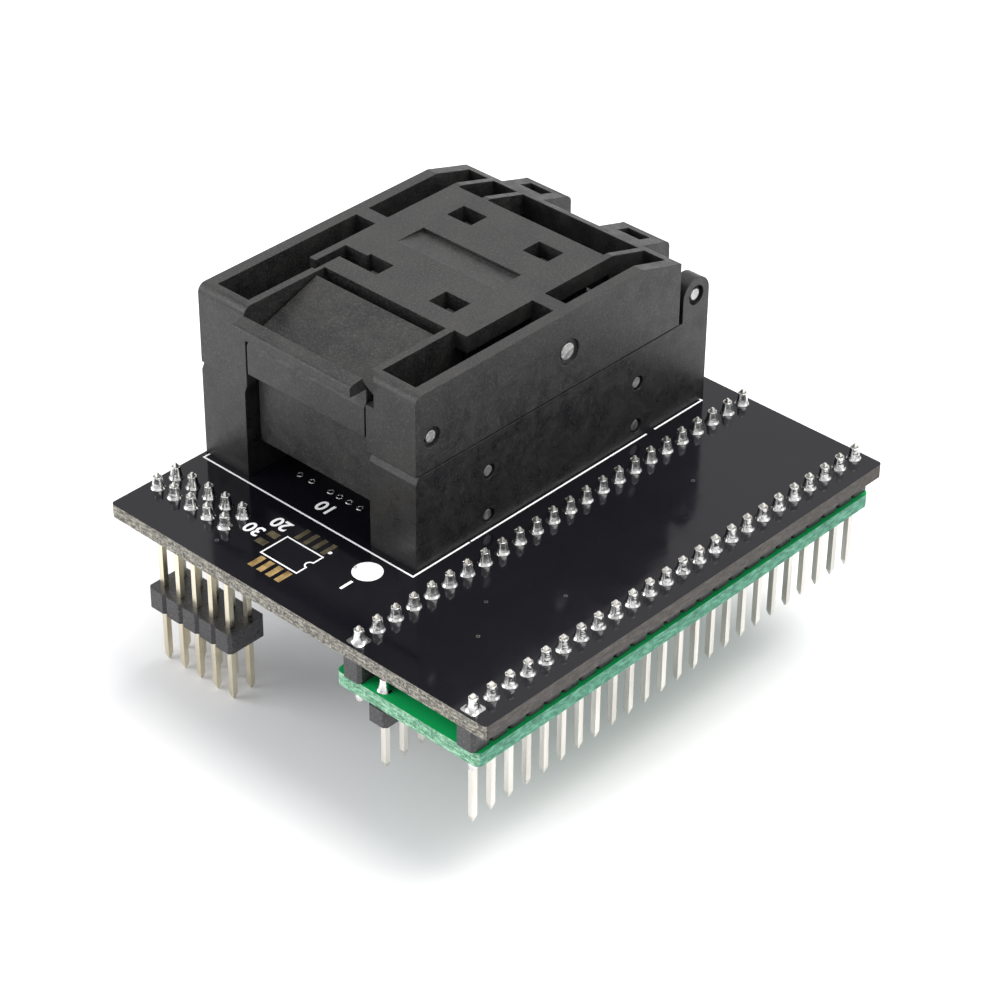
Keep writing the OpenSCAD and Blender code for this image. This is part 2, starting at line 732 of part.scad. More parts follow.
// Everything cut out of the lid's outer block
module lid_hollows() {
    inner_l = lid_l - lid_rear_t - lid_front_t;
    // Hollow under the deck
    translate([-rail_in, lid_front_t, lid_z - 1]) cube([2 * rail_in, inner_l, deck_z - lid_z + 1]);
    // Opening for the latch, from the front face to the deck
    translate([-rib_in, -1, lid_z - 1]) cube([latch_gap_w, deck_y + 1, sock_h]);
    // Long windows between the rails and the deck, split by the cross bars
    for (s = [-1, 1]) {
        out = s > 0 ? deck_w / 2 : -rail_in;
        wide = rail_in - deck_w / 2;
        translate([out, lid_front_t, lid_z]) cube([wide, press_at[0] - cross_bar / 2 - lid_front_t, sock_h]);
        translate([out, press_at[0] + cross_bar / 2, lid_z])
            cube([wide, lid_l - lid_rear_t - press_at[0] - cross_bar / 2, sock_h]);
        // Wider front part, beside the rib
        front = s > 0 ? rib_in + rib_t : -rail_in;
        translate([front, lid_front_t, lid_z])
            cube([rail_in - rib_in - rib_t, deck_y + 0.3 - lid_front_t, sock_h]);
    }
    // Square holes in the deck
    for (x = [-1, 1], y = [-1, 1])
        translate([x * deck_hole_x - deck_hole[0] / 2, press_at[0] + y * deck_hole_dy
            - deck_hole[1] / 2, deck_z - 1]) cube([deck_hole[0], deck_hole[1], deck_t + 2]);
    // Side channel that joins one of them to the window beside it
    chan_x = -deck_w / 2 + finger_w;
    chan_y = press_at[0] - deck_hole_dy - deck_hole[1] / 2;
    translate([chan_x, chan_y, deck_z - 1]) cube([deck_w / 2 - finger_w - deck_hole_x, channel[1], deck_t + 2]);
    translate([chan_x, deck_y - 1, deck_z - 1])
        cube([channel[0], chan_y - deck_y + 1 + eps, deck_t + 2]);
    // Rear windows between the ribs
    rib_xs = [-deck_w / 2, -mid_rib_x, deck_w / 2 - rear_rib_t];
    for (i = [0, 1]) translate([rib_xs[i] + rear_rib_t, deck_rear, lid_z])
        cube([rib_xs[i + 1] - rib_xs[i] - rear_rib_t, lid_l - lid_rear_t - deck_rear, sock_h]);
}

// Ribs, cross bars, pin bosses and the spring shelf under the lid's top
module lid_inner_ribs() {
    for (s = [-1, 1]) {
        rib_x = s > 0 ? rib_in : -rib_in - rib_t;
        // Ribs beside the latch, down round its pin
        translate([rib_x, lid_front_t - eps, lid_z + 1]) cube([rib_t, deck_y + 1.4 - lid_front_t, deck_z - lid_z]);
        // Cross bars that carry the pressure pin
        bar_x = s > 0 ? press_w / 2 + 0.4 : -rail_in - eps;
        translate([bar_x, press_at[0] - cross_bar / 2, press_at[1] - 1.6])
            cube([rail_in - press_w / 2 - 0.4 + eps, cross_bar, deck_z - press_at[1] + 1.7]);
    }
    // Rear ribs that follow the slope
    for (x = [-deck_w / 2, -mid_rib_x, deck_w / 2 - rear_rib_t]) side_extrude(x, x + rear_rib_t)
        polygon([[deck_rear - eps, deck_z - 2], [deck_rear - eps, sock_h - 0.5], [lid_l - slope_l, sock_h - 0.5],
            [lid_l - lid_rear_t + eps, sock_h - slope_drop - 0.3], [lid_l - lid_rear_t + eps, deck_z - 2]]);
    // Shelf for the latch spring
    translate([-rib_in - eps, shelf_y - shelf_l / 2, shelf_z - shelf_t])
        cube([latch_gap_w + 2 * eps, shelf_l, shelf_t]);
}

// Pressure plate: rocks on its pin under the deck and presses on the chip
module pressure_plate() {
    hook = [1.6, 1.2];
    color([0.17, 0.17, 0.18]) on_board() translate([0, press_at[0], 0]) difference() {
        union() {
            translate([-press_w / 2, -press_l / 2, press_z0]) cube([press_w, press_l, press_z1 - press_z0]);
            translate([-pad_w / 2, -pad_l / 2, pad_z]) cube([pad_w, pad_l, press_z0 - pad_z + eps]);
            for (x = [-1, 1], y = [-1, 1])
                translate([x * deck_hole_x - hook[0] / 2, y * deck_hole_dy - hook[1] / 2, press_z1 - eps])
                    cube([hook[0], hook[1], sock_h - 1.3 - press_z1]);
        }
        translate([-press_w, 0, press_at[1]]) rotate([0, 90, 0])
            cylinder(h = 2 * press_w, d = press_pin_d + 2 * run_gap);
        at_press_springs() translate([0, 0, press_pocket_z])
            cylinder(h = press_z1, r = press_spring_r + wire_d / 2 + 0.2);
    }
}

module at_press_springs() {
    for (x = [-1, 1], y = [-1, 1]) translate([x * press_spring_x, y * press_spring_y, 0]) children();
}

// Pressure pin: a shaft with a flat head sunk in each rail
module pressure_pin() {
    color([0.8, 0.81, 0.82]) on_board() {
        cross_pin(press_at, press_pin_d);
        for (s = [-1, 1]) translate([s * (sock_w / 2 - pin_sink), press_at[0], press_at[1]])
            rotate([0, -s * 90, 0]) cylinder(h = head_t, d = press_head_d);
    }
}

module pressure_springs() {
    color([0.75, 0.76, 0.78]) on_board() translate([0, press_at[0], 0]) at_press_springs()
        translate([0, 0, press_pocket_z]) coil(press_spring_r, deck_z - spring_gap - press_pocket_z, 5);
}

// Underside of the thumb plate, from its front to its rear edge
function thumb_under() = [[latch_at[0] + 2, latch_at[1] + 1.2], [thumb_y, sock_h - 0.3 - thumb_t]];

// Side outline of the latch lever: thumb plate, grip bar, front plate and hook
module lever_outline() {
    top = sock_h - 0.3;
    bar = sock_h - 0.7;
    bar_low = bar - 1.5;
    neck = latch_at[1] + 2.0;
    back = hook_set + hook_t;
    toe = front_recess + hook_reach;
    toe_top = catch_z - hook_play;
    under = thumb_under();
    polygon([[0, plate_z], [0, neck - 0.8], [0.35, neck - 0.2], [0.35, bar_low], [0.2 - bar_out, bar_low],
        [-bar_out, bar_low + 0.2], [-bar_out, bar - 0.5], [0.1 - bar_out, bar - 0.3],
        [0.3 - bar_out, bar - 0.2], [-0.2, bar], [0.25, bar - 0.9], [1.3, neck + 0.2], [thumb_y, top],
        under[1], under[0], [under[0][0], latch_at[1] - 1],
        [back, plate_z - 1], [back, toe_top], [toe - toe_cut, toe_top], [toe, toe_top - toe_cut],
        [toe, hook_z], [hook_set, hook_z], [hook_set, plate_z]]);
}

module latch_lever() {
    color([0.21, 0.21, 0.22]) on_board() difference() {
        side_extrude(-latch_w / 2, latch_w / 2) lever_outline();
        cross_bore(latch_at, latch_pin_d + 2 * run_gap);
    }
}

module latch_pin() {
    color([0.78, 0.79, 0.8]) on_board() cross_pin(latch_at, latch_pin_d);
}

// Compression spring under the thumb plate
module latch_spring() {
    under = thumb_under();
    front = shelf_y - latch_spring_r - wire_d / 2;
    seat = under[0][1] + (under[1][1] - under[0][1]) * (front - under[0][0]) / (under[1][0] - under[0][0]);
    color([0.75, 0.76, 0.78]) on_board() translate([0, shelf_y, shelf_z])
        coil(latch_spring_r, seat - shelf_z - 0.05, 5);
}

carrier_board();
riser_board();
outer_link_strip();
inner_link_strip();
outer_row_pins();
inner_link_pins();
lower_pin_strip();
lower_row_pins();
side_header_block();
side_header_pins();
carrier_solder();
riser_solder();
socket_base();
contact_block();
contact_pins();
nest_plate();
nest_springs();
cross_pins();
hinge_pin();
hinge_spring();
lid_frame();
pressure_plate();
pressure_pin();
pressure_springs();
latch_lever();
latch_pin();
latch_spring();
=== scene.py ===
import math

import bmesh
import bpy
from mathutils import Matrix, Vector


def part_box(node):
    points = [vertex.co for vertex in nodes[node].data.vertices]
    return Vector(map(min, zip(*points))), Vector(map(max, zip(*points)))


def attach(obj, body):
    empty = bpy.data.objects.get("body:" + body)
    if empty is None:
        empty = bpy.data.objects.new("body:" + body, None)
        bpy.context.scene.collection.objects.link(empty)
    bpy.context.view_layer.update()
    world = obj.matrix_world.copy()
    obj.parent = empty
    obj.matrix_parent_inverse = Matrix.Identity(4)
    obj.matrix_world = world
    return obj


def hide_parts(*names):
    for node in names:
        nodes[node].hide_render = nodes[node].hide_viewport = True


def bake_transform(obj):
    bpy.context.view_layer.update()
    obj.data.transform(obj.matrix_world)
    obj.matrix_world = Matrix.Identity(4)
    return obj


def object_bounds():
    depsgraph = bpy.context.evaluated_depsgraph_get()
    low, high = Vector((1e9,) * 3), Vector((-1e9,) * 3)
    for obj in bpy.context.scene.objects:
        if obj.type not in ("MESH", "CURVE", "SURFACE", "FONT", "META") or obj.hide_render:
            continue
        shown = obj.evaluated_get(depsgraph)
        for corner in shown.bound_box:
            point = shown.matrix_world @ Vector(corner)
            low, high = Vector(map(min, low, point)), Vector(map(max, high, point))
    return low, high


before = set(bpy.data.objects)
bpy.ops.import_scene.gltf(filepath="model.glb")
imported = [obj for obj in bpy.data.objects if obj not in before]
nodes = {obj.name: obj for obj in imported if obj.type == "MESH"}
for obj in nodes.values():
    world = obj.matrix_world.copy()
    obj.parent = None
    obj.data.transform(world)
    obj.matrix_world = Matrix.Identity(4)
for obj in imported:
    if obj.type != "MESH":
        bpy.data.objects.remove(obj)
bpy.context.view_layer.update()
MM = 0.001
CIRCLE = 2 * math.pi

# Camera: the photograph's viewpoint in the model's frame, in degrees and mm
AZIMUTH, ELEVATION, ROLL = 42.720, 34.893, 0.600
DISTANCE = 317.467
TARGET = Vector((-15.735, -2.348, 7.745))
LENS, SENSOR = 110.557, 36.0

# The board's two long pin rows, in mm
PITCH = 2.54
OUTER_ROW_X = 5.90
INNER_ROW_X = OUTER_ROW_X - 6 * PITCH
FIRST_PIN_Y = -11.5 * PITCH


def photo_camera():
    az, el, roll = (math.radians(d) for d in (AZIMUTH, ELEVATION, ROLL))
    back = Vector((math.sin(az) * math.cos(el), -math.cos(az) * math.cos(el), math.sin(el)))
    level = (-back).cross(Vector((0, 0, 1))).normalized()
    upright = level.cross(-back)
    right = level * math.cos(roll) + upright * math.sin(roll)
    up = upright * math.cos(roll) - level * math.sin(roll)
    data = bpy.data.cameras.new("camera")
    data.lens, data.sensor_width = LENS, SENSOR
    data.clip_start, data.clip_end = 0.01, 20.0
    cam = bpy.data.objects.new("camera", data)
    bpy.context.collection.objects.link(cam)
    spin = Matrix((right, up, back)).transposed().to_4x4()
    cam.matrix_world = Matrix.Translation((TARGET + back * DISTANCE) * MM) @ spin
    return cam


scene = bpy.context.scene
scene.camera = photo_camera()
scene.view_settings.view_transform = "Standard"


# Materials. A texture's scale is the number of its features in a metre.
class Tree:
    """A material's node tree, with short calls for the nodes used here."""

    def __init__(self, name):
        self.mat = bpy.data.materials.new(name)
        self.mat.use_nodes = True
        self.nodes = self.mat.node_tree.nodes
        self.links = self.mat.node_tree.links
        self.shader = self.nodes["Principled BSDF"]
        self.where = self.nodes.new("ShaderNodeTexCoord").outputs["Object"]

    def link(self, out, into):
        self.links.new(out, into)

    def noise(self, scale, detail=3.0, stretch=None, rough=0.55):
        n = self.nodes.new("ShaderNodeTexNoise")
        n.inputs["Scale"].default_value = scale
        n.inputs["Detail"].default_value = detail
        n.inputs["Roughness"].default_value = rough
        source = self.where
        if stretch:
            m = self.nodes.new("ShaderNodeMapping")
            m.inputs["Scale"].default_value = stretch
            self.link(source, m.inputs["Vector"])
            source = m.outputs["Vector"]
        self.link(source, n.inputs["Vector"])
        return n.outputs["Fac"]

    def cells(self, scale):
        n = self.nodes.new("ShaderNodeTexVoronoi")
        n.inputs["Scale"].default_value = scale
        self.link(self.where, n.inputs["Vector"])
        return n.outputs["Distance"]

    def height(self):
        n = self.nodes.new("ShaderNodeSeparateXYZ")
        self.link(self.where, n.inputs[0])
        return n.outputs["Z"]

    def ramp(self, value, stops):
        n = self.nodes.new("ShaderNodeValToRGB")
        el = n.color_ramp.elements
        el[0].position, el[0].color = stops[0][0], (*stops[0][1], 1)
        el[1].position, el[1].color = stops[-1][0], (*stops[-1][1], 1)
        for pos, col in stops[1:-1]:
            el.new(pos).color = (*col, 1)
        self.link(value, n.inputs["Fac"])
        return n.outputs["Color"]

    def span(self, value, low, high, at_low=0.3, at_high=0.7):
        """low where the value is at_low, high where it is at_high."""
        n = self.nodes.new("ShaderNodeMapRange")
        n.inputs["From Min"].default_value = at_low
        n.inputs["From Max"].default_value = at_high
        n.inputs["To Min"].default_value = low
        n.inputs["To Max"].default_value = high
        self.link(value, n.inputs["Value"])
        return n.outputs["Result"]

    def times(self, one, two):
        n = self.nodes.new("ShaderNodeMath")
        n.operation = "MULTIPLY"
        self.link(one, n.inputs[0])
        self.link(two, n.inputs[1])
        return n.outputs[0]

    def mix(self, share, under, over):
        """The colour under, covered by the fixed colour over where share is 1."""
        n = self.nodes.new("ShaderNodeMix")
        n.data_type = "RGBA"
        self.link(share, n.inputs[0])
        self.link(under, n.inputs[6])
        n.inputs[7].default_value = (*over, 1)
        return n.outputs[2]

    def bump(self, height, strength, distance, edge=0.0):
        """Relief from the height, and edges rounded by the radius edge."""
        n = self.nodes.new("ShaderNodeBump")
        n.inputs["Strength"].default_value = strength
        n.inputs["Distance"].default_value = distance
        self.link(height, n.inputs["Height"])
        if edge:
            b = self.nodes.new("ShaderNodeBevel")
            b.samples = 4
            b.inputs["Radius"].default_value = edge
            self.link(b.outputs["Normal"], n.inputs["Normal"])
        self.link(n.outputs["Normal"], self.shader.inputs["Normal"])

    def put(self, socket, value):
        if isinstance(value, bpy.types.NodeSocket):
            self.link(value, self.shader.inputs[socket])
        else:
            self.shader.inputs[socket].default_value = value


def grained_plastic(name, dark, light, rough, grain=0.05 * MM, edge=0.12 * MM):
    """Moulded plastic: pale specks over broad smears, with dust here and there."""
    t = Tree(name)
    black, white, dust = (0, 0, 0), (1, 1, 1), (0.09, 0.09, 0.09)
    middle = tuple((d + c) / 2 for d, c in zip(dark, light))
    specks = t.noise(4300, 4, rough=0.75)
    smears = t.ramp(t.noise(260, 7, rough=0.72), [(0.40, dark), (0.5, middle), (0.62, light)])
    mottled = t.mix(t.span(specks, 0.0, 0.8, 0.50, 0.70), smears, tuple(c * 3.0 for c in light))
    lint = t.ramp(t.cells(420), [(0.0, white), (0.035, white), (0.05, black)])
    dusty_places = t.span(t.noise(260, 2), 0.0, 1.0, 0.56, 0.6)
    t.put("Base Color", t.mix(t.times(lint, dusty_places), mottled, dust))
    worn = t.noise(520, 6, rough=0.75)
    t.put("Roughness", t.span(worn, rough - 0.11, rough + 0.11, 0.38, 0.62))
    t.put("IOR", 1.43)
    t.bump(specks, 0.5, grain, edge)
    return t.mat


def board_mask(name, dark, light, rough):
    """Glossy solder mask, with the glass weave faintly raised under it."""
    t = Tree(name)
    t.put("Base Color", t.ramp(t.noise(60, 3), [(0.3, dark), (0.7, light)]))
    t.put("Roughness", t.span(t.noise(350, 4), rough - 0.03, rough + 0.06))
    t.put("IOR", 1.35)
    t.bump(t.noise(900, 2, stretch=(1, 0.25, 1)), 0.12, 0.03 * MM)
    return t.mat


def fibre_edge(name, dark, mid, light, contrast=1.0):
    """Cut glass-fibre board: layers along the board and pale ends of the fibres."""
    t = Tree(name)
    layers = t.noise(1900, 4, stretch=(0.5, 0.5, 2.0))
    flecks = t.noise(3600, 4, rough=0.7)
    body = t.ramp(layers, [(0.38, dark), (0.52, mid), (0.66, light)])
    pale = tuple(min(c * 1.5, 0.9) for c in light)
    t.put("Base Color", t.mix(t.span(flecks, 0, 0.85 * contrast, 0.5, 0.68), body, pale))
    t.put("Roughness", t.span(layers, 0.6, 0.85))
    t.bump(flecks, 0.7, 0.08 * MM)
    return t.mat


def metal(name, dark, light, rough, scale,
          stretch=None, grain=0.02 * MM, edge=0.0, tinned_above=None):
    """Streaked metal. tinned_above is the height from which tin covers it."""
    t = Tree(name)
    streaks = t.noise(scale, 3, stretch=stretch)
    colour = t.ramp(streaks, [(0.3, dark), (0.7, light)])
    if tinned_above:
        low, high = tinned_above - 0.1 * MM, tinned_above + 0.3 * MM
        colour = t.mix(t.span(t.height(), 0.0, 1.0, low, high), colour, (0.66, 0.65, 0.62))
    t.put("Base Color", colour)
    t.put("Metallic", 1.0)
    t.put("Roughness", t.span(streaks, rough - 0.07, rough + 0.1))
    t.bump(streaks, 0.3, grain, edge)
    return t.mat


def ink(name, colour):
    """Printed ink, with a painted glow so it stays white beside the black mask."""
    t = Tree(name)
    n = t.noise(1500, 3)
    t.put("Base Color", t.ramp(n, [(0.25, tuple(c * 0.86 for c in colour)), (0.6, colour)]))
    t.put("Roughness", t.span(n, 0.42, 0.60))
    # Painted glow: the ink gives off a faint light of its own.
    t.put("Emission Color", (1.0, 1.0, 1.0, 1.0))
    t.put("Emission Strength", 0.15)
    t.bump(n, 0.2, 0.01 * MM)
    return t.mat


socket_plastic = grained_plastic(
    "socket_plastic", (0.0105, 0.0105, 0.0112), (0.0215, 0.0210, 0.0200), 0.41)
base_plastic = grained_plastic(
    "base_plastic", (0.0055, 0.0055, 0.0065), (0.0130, 0.0130, 0.0135), 0.38)
nest_plastic = grained_plastic(
    "nest_plastic", (0.010, 0.010, 0.011), (0.016, 0.016, 0.017), 0.50)
strip_plastic = grained_plastic(
    "strip_plastic", (0.026, 0.026, 0.028), (0.044, 0.043, 0.045), 0.36, 0.03 * MM, 0.08 * MM)

black_mask = board_mask("black_mask", (0.0052, 0.0050, 0.0074), (0.0080, 0.0078, 0.0108), 0.10)
# The riser's top mask is brightened, painted light on a top that lies in shade; its underside mask
# is a darkened copy, painted shade.
green_mask_painted_light = board_mask("green_mask_painted_light", (0.010, 0.46, 0.12), (0.014, 0.58, 0.15), 0.20)
green_under_painted_shade = board_mask("green_under_painted_shade", (0.003, 0.13, 0.035), (0.004, 0.18, 0.05), 0.20)
black_edge = fibre_edge(
    "black_edge", (0.045, 0.041, 0.035), (0.155, 0.145, 0.12), (0.35, 0.335, 0.29))
# The carrier's cut sides along the rows: a darker, plainer copy of its cut edge, painted shade.
black_side_painted_shade = fibre_edge(
    "black_side_painted_shade", (0.035, 0.030, 0.027), (0.060, 0.053, 0.048), (0.10, 0.09, 0.082), 0.4)
green_edge = fibre_edge(
    "green_edge", (0.05, 0.19, 0.11), (0.14, 0.35, 0.21), (0.34, 0.55, 0.40), 0.9)
# The riser's cut sides along the rows: a darker, plainer copy of its cut edge, painted shade.
green_side_painted_shade = fibre_edge(
    "green_side_painted_shade", (0.03, 0.15, 0.09), (0.07, 0.26, 0.165), (0.17, 0.40, 0.29), 0.5)

DRAWN = dict(scale=700, stretch=(1, 1, 0.12), edge=0.06 * MM)
tin = metal("tin", (0.56, 0.54, 0.50), (0.80, 0.78, 0.73), 0.30, **DRAWN)
gold = metal("gold", (0.66, 0.60, 0.46), (0.90, 0.84, 0.68), 0.30, tinned_above=7.7 * MM, **DRAWN)
solder = metal(
    "solder", (0.38, 0.38, 0.38), (0.88, 0.88, 0.87), 0.11, 1500, grain=0.22 * MM, edge=0.12 * MM)
pin_steel = metal(
    "pin_steel", (0.36, 0.36, 0.36), (0.62, 0.62, 0.61), 0.40, 1400, grain=0.3 * MM, edge=0.2 * MM)
spring_steel = metal("spring_steel", (0.45, 0.46, 0.48), (0.68, 0.69, 0.70), 0.25, 1500)
pad_gold = metal("pad_gold", (0.62, 0.42, 0.17), (0.86, 0.62, 0.28), 0.45, 1200)
pad_dull = metal("pad_dull", (0.22, 0.19, 0.12), (0.36, 0.31, 0.20), 0.45, 1200)
pad_tin = metal("pad_tin", (0.62, 0.62, 0.62), (0.88, 0.88, 0.87), 0.22, 900)
via_metal = metal("via_metal", (0.16, 0.16, 0.15), (0.30, 0.29, 0.27), 0.35, 1200)
white_ink_painted_glow = ink("white_ink_painted_glow", (0.98, 0.98, 0.98))

USES = {
    socket_plastic: ("lid_frame", "latch_lever"),
    base_plastic: ("socket_base",),
    nest_plastic: ("contact_block", "nest_plate", "pressure_plate"),
    strip_plastic: ("outer_link_strip", "inner_link_strip", "lower_pin_strip", "side_header_block"),
    tin: ("outer_row_pins", "inner_link_pins", "lower_row_pins"),
    gold: ("side_header_pins", "contact_pins"),
    solder: ("carrier_solder", "riser_solder"),
    pin_steel: ("cross_pins", "hinge_pin", "pressure_pin", "latch_pin"),
    spring_steel: ("nest_springs", "hinge_spring", "pressure_springs", "latch_spring"),
}
# A board's materials: top, cut ends across the rows, cut sides along them, underside. The cut sides
# are darker copies of the cut ends, painted shade; the riser's top and underside are brightened and
# darkened copies of its mask, painted light and painted shade.
BOARDS = {
    "carrier_board": (black_mask, black_edge, black_side_painted_shade, black_mask),
    "riser_board": (green_mask_painted_light, green_edge, green_side_painted_shade, green_under_painted_shade),
}


def set_materials(mesh, *mats):
    mesh.materials.clear()
    for mat in mats:
        mesh.materials.append(mat)


def board_face(normal):
    """Which of a board's materials a face takes."""
    if abs(normal.z) > 0.5:
        return 0 if normal.z > 0 else 3
    return 1 if abs(normal.y) > 0.5 else 2


for mat, names in USES.items():
    for name in names:
        set_materials(nodes[name].data, mat)
for name, mats in BOARDS.items():
    mesh = nodes[name].data
    set_materials(mesh, *mats)
    for face in mesh.polygons:
        face.material_index = board_face(face.normal)


# Pieces made here. Plans are in mm, heights in metres.
BOARD_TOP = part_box("carrier_board")[1].z
MARK_LOW = BOARD_TOP + 0.002 * MM
MARK_DEEP = 0.012 * MM
MARK_HIGH = MARK_LOW + MARK_DEEP
MITRE_LEAST = 0.35


def new_piece(name, bm, mat, body="base", blend=None):
    """A piece from the mesh bm. With blend given it stays where it is and is put on no body; the
    second body, start and end in blend are not used.
    """
    mesh = bpy.data.meshes.new(name)
    bmesh.ops.recalc_face_normals(bm, faces=bm.faces)
    bm.to_mesh(mesh)
    bm.free()
    obj = bpy.data.objects.new(name, mesh)
    bpy.context.collection.objects.link(obj)
    set_materials(mesh, mat)
    if blend:
        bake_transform(obj)
    else:
        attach(obj, body)
    return obj


def join_loops(bm, one, two):
    """Faces between two loops of as many points."""
    for k in range(len(one)):
        m = (k + 1) % len(one)
        bm.faces.new((one[k], one[m], two[m], two[k]))


def mark(bm, plan):
    """A thin plate on the board with that outline."""
    low, high = ([bm.verts.new((x * MM, y * MM, z)) for x, y in plan]
                 for z in (MARK_LOW, MARK_HIGH))
    bm.faces.new(low[::-1])
    bm.faces.new(high)
    join_loops(bm, low, high)


def pad(bm, x0, x1, y0, y1):
    mark(bm, [(x0, y0), (x1, y0), (x1, y1), (x0, y1)])


def dot(bm, cx, cy, radius, sides):
    turns = [CIRCLE * i / sides for i in range(sides)]
    mark(bm, [(cx + radius * math.cos(a), cy + radius * math.sin(a)) for a in turns])


def stroke(bm, points, width):
    """A line of ink through the points, as one strip with mitred corners."""
    points = [Vector(p) for p in points]
    rows = []
    for i, p in enumerate(points):
        before = (p - points[i - 1]).normalized() if i else (points[1] - p).normalized()
        after = (points[i + 1] - p).normalized() if i + 1 < len(points) else before
        side = Vector((-before.y, before.x))
        mitre = (side + Vector((-after.y, after.x))).normalized()
        mitre *= width / 2 / max(mitre.dot(side), MITRE_LEAST)
        near, far = (p - mitre) * MM, (p + mitre) * MM
        section = ((near, MARK_LOW), (far, MARK_LOW), (far, MARK_HIGH), (near, MARK_HIGH))
        rows.append([bm.verts.new((q.x, q.y, z)) for q, z in section])
    for one, two in zip(rows, rows[1:]):
        join_loops(bm, one, two)
    bm.faces.new(rows[0])
    bm.faces.new(rows[-1][::-1])


def ring(bm, cx, cy, inner, outer, sides, square=False):
    """A flat ring round a hole, with a square outside where asked."""
    def loop(radius, z, squared=False):
        out = []
        for i in range(sides):
            a = CIRCLE * (i + 0.5) / sides
            x, y = math.cos(a), math.sin(a)
            k = radius / max(abs(x), abs(y)) if squared else radius
            out.append(bm.verts.new(((cx + k * x) * MM, (cy + k * y) * MM, z)))
        return out

    loops = [loop(inner, MARK_LOW), loop(inner, MARK_HIGH),
             loop(outer, MARK_HIGH, square), loop(outer, MARK_LOW, square)]
    for k in range(4):
        join_loops(bm, loops[k - 1], loops[k])


# White outline of the chip socket, with two gaps in its right side
LEFT, RIGHT, FRONT, REAR = -43.66, -12.85, -18.14, 26.62
FRONT_GAP, REAR_GAP = (-9.95, -9.75), (17.46, 18.74)
LEFT_RETURN, REAR_RETURN = 1.0, 0.8
OUTLINE_WIDE = 0.2
# White outline of the small chip, with its half-round notch
CHIP_LEFT, CHIP_RIGHT, CHIP_FRONT, CHIP_REAR = -26.87, -21.70, -25.75, -22.03
NOTCH_Y, NOTCH_RADIUS, NOTCH_STEPS = -23.90, 0.5, 10
CHIP_START, CHIP_END = 0.75, 0.72
CHIP_WIDE = 0.17
# White dots: the middle and the radius
CHIP_DOT, FIRST_PIN_DOT = (-21.75, -21.01, 0.24), (-16.75, -20.66, 1.62)

bm = bmesh.new()
stroke(bm, [(LEFT, FRONT + LEFT_RETURN), (LEFT, FRONT), (RIGHT, FRONT), (RIGHT, FRONT_GAP[0])],
       OUTLINE_WIDE)
stroke(bm, [(RIGHT, FRONT_GAP[1]), (RIGHT, REAR_GAP[0])], OUTLINE_WIDE)
stroke(bm, [(RIGHT, REAR_GAP[1]), (RIGHT, REAR), (RIGHT - REAR_RETURN, REAR)], OUTLINE_WIDE)
corners = [(CHIP_RIGHT, NOTCH_Y - CHIP_START), (CHIP_RIGHT, CHIP_FRONT), (CHIP_LEFT, CHIP_FRONT),
           (CHIP_LEFT, CHIP_REAR), (CHIP_RIGHT, CHIP_REAR)]
half_turn = [math.pi * i / NOTCH_STEPS for i in range(NOTCH_STEPS + 1)]
notch = [(CHIP_RIGHT - NOTCH_RADIUS * math.sin(a), NOTCH_Y + NOTCH_RADIUS * math.cos(a))
         for a in half_turn]
stroke(bm, corners + notch + [(CHIP_RIGHT, NOTCH_Y - CHIP_END)], CHIP_WIDE)
dot(bm, *CHIP_DOT, sides=20)
dot(bm, *FIRST_PIN_DOT, sides=48)
new_piece("board_marks", bm, white_ink_painted_glow)

# Plain numbers in place of the board's labels: text and its middle
NUMBERS = (("1", -16.7, -23.6), ("10", -27.7, -15.7), ("20", -28.9, -20.9), ("30", -30.3, -23.4))
NUMBER_SIZE, NUMBER_BOLD = 2.3 * MM, 0.05 * MM


def printed_number(name, word, x, y):
    curve = bpy.data.curves.new(name, "FONT")
    curve.body = word
    curve.size = NUMBER_SIZE
    curve.align_x = curve.align_y = "CENTER"
    curve.extrude = MARK_DEEP / 2
    curve.offset = NUMBER_BOLD
    text = bpy.data.objects.new(name + "_text", curve)
    bpy.context.collection.objects.link(text)
    bpy.context.view_layer.update()
    graph = bpy.context.evaluated_depsgraph_get()
    mesh = bpy.data.meshes.new_from_object(text.evaluated_get(graph))
    middle = Matrix.Translation((x * MM, y * MM, MARK_LOW + MARK_DEEP / 2))
    mesh.transform(middle @ Matrix.Rotation(math.pi, 4, "Z"))
    bpy.data.objects.remove(text)
    set_materials(mesh, white_ink_painted_glow)
    obj = bpy.data.objects.new(name, mesh)
    bpy.context.collection.objects.link(obj)
    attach(obj, "base")


for i, number in enumerate(NUMBERS):
    printed_number(f"printed_number_{i}", *number)

# Bare pads of the small chip, and two of a part beside it
CHIP_PADS_X = [-26.03 + PITCH / 2 * i for i in range(4)]
FRONT_PAD_Y, FRONT_PAD_HALF = (-28.05, -26.1), 0.37
REAR_PAD_Y, REAR_PAD_HALF = (-21.7, -19.7), 0.3
SIDE_PAD_X, SIDE_PADS_Y, SIDE_PAD_HALF = (-28.85, -27.5), (-24.4, -22.8), 0.45
bm = bmesh.new()
for x in CHIP_PADS_X:
    pad(bm, x - FRONT_PAD_HALF, x + FRONT_PAD_HALF, *FRONT_PAD_Y)
new_piece("chip_pads_front", bm, pad_gold)
bm = bmesh.new()
for x in CHIP_PADS_X:
    pad(bm, x - REAR_PAD_HALF, x + REAR_PAD_HALF, *REAR_PAD_Y)
for y in SIDE_PADS_Y:
    pad(bm, *SIDE_PAD_X, y - SIDE_PAD_HALF, y + SIDE_PAD_HALF)
new_piece("chip_pads_rear", bm, pad_dull)

# Square pads at the first pin of each row
PIN_HOLE_RADIUS, PIN_PAD_HALF = 0.5, 0.95
bm = bmesh.new()
for x in (OUTER_ROW_X, INNER_ROW_X):
    ring(bm, x, FIRST_PIN_Y, PIN_HOLE_RADIUS, PIN_PAD_HALF, 24, square=True)
new_piece("first_pin_pads", bm, pad_tin)

